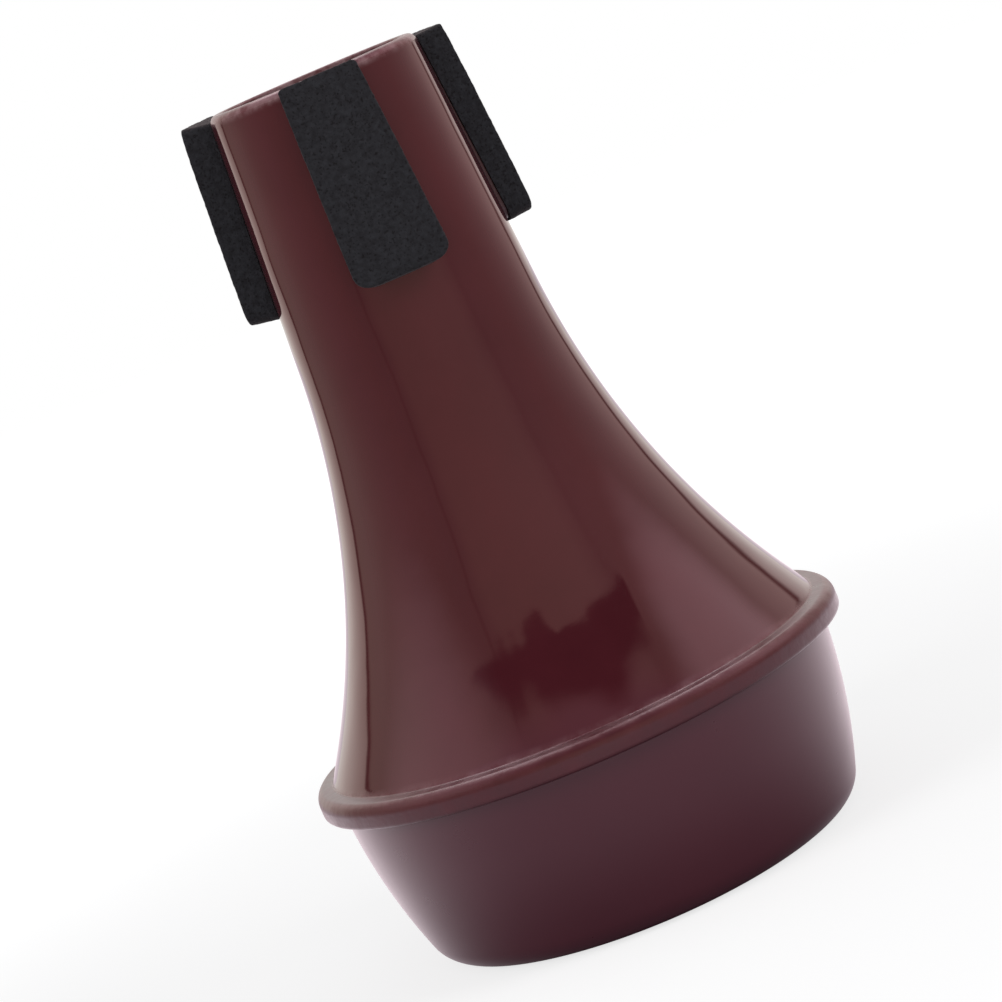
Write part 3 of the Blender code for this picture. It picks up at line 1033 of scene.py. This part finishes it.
def stage_world():
    """White all round to the camera, the light tent to the gloss, and an even grey to the rest."""
    world = bpy.data.worlds.new("studio")
    bpy.context.scene.world = world
    world.use_nodes = True
    nodes, links = world.node_tree.nodes, world.node_tree.links
    path = nodes.new("ShaderNodeLightPath")
    camera, gloss, through = (
        path.outputs[name] for name in ("Is Camera Ray", "Is Glossy Ray", "Is Transmission Ray")
    )
    seen = math_of(nodes, links, "MAXIMUM", camera, through)
    light = mixed(nodes, links, "MIX", gloss, (AMBIENT,) * 3, tent_gloss(nodes, links))
    light = mixed(nodes, links, "MIX", seen, light, (1.0, 1.0, 1.0))
    links.new(light, nodes["Background"].inputs["Color"])


def add_lamp(name, place, target, size, power):
    """An area lamp that faces the target and doesn't show in the gloss."""
    data = bpy.data.lights.new(name, "AREA")
    data.shape = "RECTANGLE"
    data.size, data.size_y = size
    data.energy = power
    lamp = bpy.data.objects.new(name, data)
    lamp.visible_glossy = False
    lamp.location = place
    lamp.rotation_euler = (Vector(target) - Vector(place)).to_track_quat("-Z", "Y").to_euler()
    bpy.context.scene.collection.objects.link(lamp)


def stage_camera(settings):
    """Camera on a level circle round the aim point, lifted by its elevation and rolled."""
    rise = settings.elevation
    right = Vector((1.0, 0.0, 0.0))
    up = Vector((0.0, sin(rise), cos(rise)))
    back = Vector((0.0, -cos(rise), sin(rise)))
    across = cos(settings.roll) * right - sin(settings.roll) * up
    over = sin(settings.roll) * right + cos(settings.roll) * up
    data = bpy.data.cameras.new("camera")
    data.sensor_width = SENSOR / MM
    data.lens = settings.lens_pixels / IMAGE_SIDE * SENSOR / MM
    camera = bpy.data.objects.new("camera", data)
    aim = Vector((settings.aim_side, 0.0, settings.aim_height))
    turn = Matrix((across, over, back)).transposed().to_4x4()
    camera.matrix_world = Matrix.Translation(aim + back * settings.distance) @ turn
    bpy.context.scene.collection.objects.link(camera)
    bpy.context.scene.camera = camera


class MUTE_OT_stage(bpy.types.Operator):
    """Set the floor, the light and the camera"""

    bl_idname = "mute.stage"
    bl_label = "Stage"

    def execute(self, context):
        settings = context.scene.stage_settings
        # The start-up scene's own lamp, camera and cube go
        for thing in list(bpy.data.objects):
            if thing.type in ("LIGHT", "CAMERA") or thing.name == "Cube":
                bpy.data.objects.remove(thing)
        stage_floor()
        stage_world()
        aim = (0.0, 0.0, settings.aim_height)
        for name, place, size, power in PLAIN_LAMPS:
            add_lamp(name, place, aim, size, power)
        stage_camera(settings)
        context.scene.view_settings.view_transform = "Standard"
        return {"FINISHED"}


class MUTE_PT_panel(bpy.types.Panel):
    """Lists the mute's pieces and its stage"""

    bl_label = "Mute"
    bl_idname = "MUTE_PT_panel"
    bl_space_type = "VIEW_3D"
    bl_region_type = "UI"
    bl_category = "Mute"

    def draw(self, context):
        for operator in OPERATORS:
            self.layout.operator(operator.bl_idname)
        for group in GROUPS:
            settings = getattr(context.scene, group)
            for name in settings.bl_rna.properties.keys():
                if name not in ("rna_type", "name"):
                    self.layout.prop(settings, name)


OPERATORS = (MUTE_OT_cone, MUTE_OT_cup, MUTE_OT_tapes, MUTE_OT_pads, MUTE_OT_stage)
GROUPS = {
    "mute_shape": MuteShape,
    "pad_shape": PadShape,
    "mute_colours": MuteColours,
    "stage_settings": StageSettings,
}


def register():
    for group in GROUPS.values():
        bpy.utils.register_class(group)
    for operator in OPERATORS:
        bpy.utils.register_class(operator)
    bpy.utils.register_class(MUTE_PT_panel)
    for name, group in GROUPS.items():
        setattr(bpy.types.Scene, name, PointerProperty(type=group))


def unregister():
    for name in GROUPS:
        delattr(bpy.types.Scene, name)
    bpy.utils.unregister_class(MUTE_PT_panel)
    for operator in reversed(OPERATORS):
        bpy.utils.unregister_class(operator)
    for group in reversed(list(GROUPS.values())):
        bpy.utils.unregister_class(group)


def main():
    register()
    bpy.ops.mute.cone()
    bpy.ops.mute.cup()
    bpy.ops.mute.tapes()
    bpy.ops.mute.pads()
    bpy.ops.mute.stage()


if __name__ == "__main__":
    main()
